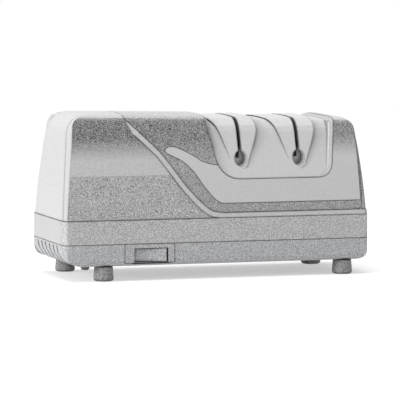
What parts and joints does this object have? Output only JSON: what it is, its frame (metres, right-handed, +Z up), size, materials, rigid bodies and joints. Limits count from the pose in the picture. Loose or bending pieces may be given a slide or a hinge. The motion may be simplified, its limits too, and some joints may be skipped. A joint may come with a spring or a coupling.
{
  "type": "electric knife sharpener",
  "caption": "Domestic electric knife sharpener: leaning moulded housing, slanted stage cover, dished knife guide with slots, rocker switch and rubber feet.",
  "frame": {"origin": "middle of the body, on the surface that the feet stand on", "axes": "+X along the body from the motor end to the sharpening stages, -Y out of the front face with the switch, +Z up"},
  "size_m": [0.22, 0.0889, 0.1133],
  "materials": {
    "light_shell": "fine satin moulding",
    "dark_cover": "coarse spark texture",
    "accent": "satin",
    "guide": "fine satin moulding",
    "band": "satin",
    "base": "satin",
    "rubber": "matt",
    "black_plastic": "glass-filled",
    "steel": "turned",
    "lamination": "oiled laminations",
    "copper": "enamelled winding wire",
    "brass": "sintered",
    "abrasive_coarse": "coarse grit",
    "abrasive_fine": "fine grit",
    "magnet": "ground ferrite"
  },
  "bodies": {
    "casing": {"upper_housing": "light_shell", "stage_cover": "dark_cover", "accent_trim": "accent", "knife_guide": "guide", "middle_band": "band", "base": "base", "cleanout_cover": "base", "filings_magnet_coarse": "magnet", "filings_magnet_fine": "magnet", "foot_front_left": "rubber", "foot_front_right": "rubber", "foot_back_left": "rubber", "foot_back_right": "rubber", "switch_bezel": "base", "switch_body": "black_plastic", "switch_terminal_1": "brass", "switch_terminal_2": "brass", "motor_stator": "lamination", "bobbin": "black_plastic", "stator_coil": "copper", "motor_bracket_left": "steel", "bush_left": "brass", "motor_bracket_right": "steel", "bush_right": "brass", "motor_bolt_front": "steel", "motor_bolt_back": "steel", "bracket_screw_front": "steel", "bracket_screw_back": "steel", "end_bracket": "black_plastic", "bush_end": "brass", "base_screw_left": "steel", "base_screw_right": "steel", "housing_screw_front_left": "steel", "housing_screw_front_right": "steel", "housing_screw_back_left": "steel", "housing_screw_back_right": "steel", "cord_gland": "rubber"},
    "rotor": {"drive_shaft": "steel", "rotor_core": "lamination", "cooling_fan": "black_plastic", "coarse_wheel_fixed": "abrasive_coarse", "coarse_spring": "steel", "coarse_collar": "steel", "fine_wheel_fixed": "abrasive_fine", "fine_spring": "steel", "fine_collar": "steel"},
    "coarse_slider": {"coarse_wheel_sliding": "abrasive_coarse"},
    "fine_slider": {"fine_wheel_sliding": "abrasive_fine"},
    "rocker": {"switch_rocker": "base"}
  },
  "joints": [
    {"name": "rotor_spin", "type": "hinge", "parent": "casing", "child": "rotor", "pos_m": [0, 0, 0.064], "axis": [1, 0, 0], "continuous": true},
    {"name": "coarse_wheel_slide", "type": "slide", "parent": "rotor", "child": "coarse_slider", "axis": [1, 0, 0], "range_m": [0, 0.0008], "stiffness_N_per_m": 1500, "springref_m": -0.002},
    {"name": "fine_wheel_slide", "type": "slide", "parent": "rotor", "child": "fine_slider", "axis": [1, 0, 0], "range_m": [0, 0.0008], "stiffness_N_per_m": 1500, "springref_m": -0.002},
    {"name": "rocker_tilt", "type": "hinge", "parent": "casing", "child": "rocker", "pos_m": [-0.04835, -0.0393, 0.0174], "axis": [0, 0, 1], "range_deg": [0, 12]}
  ]
}
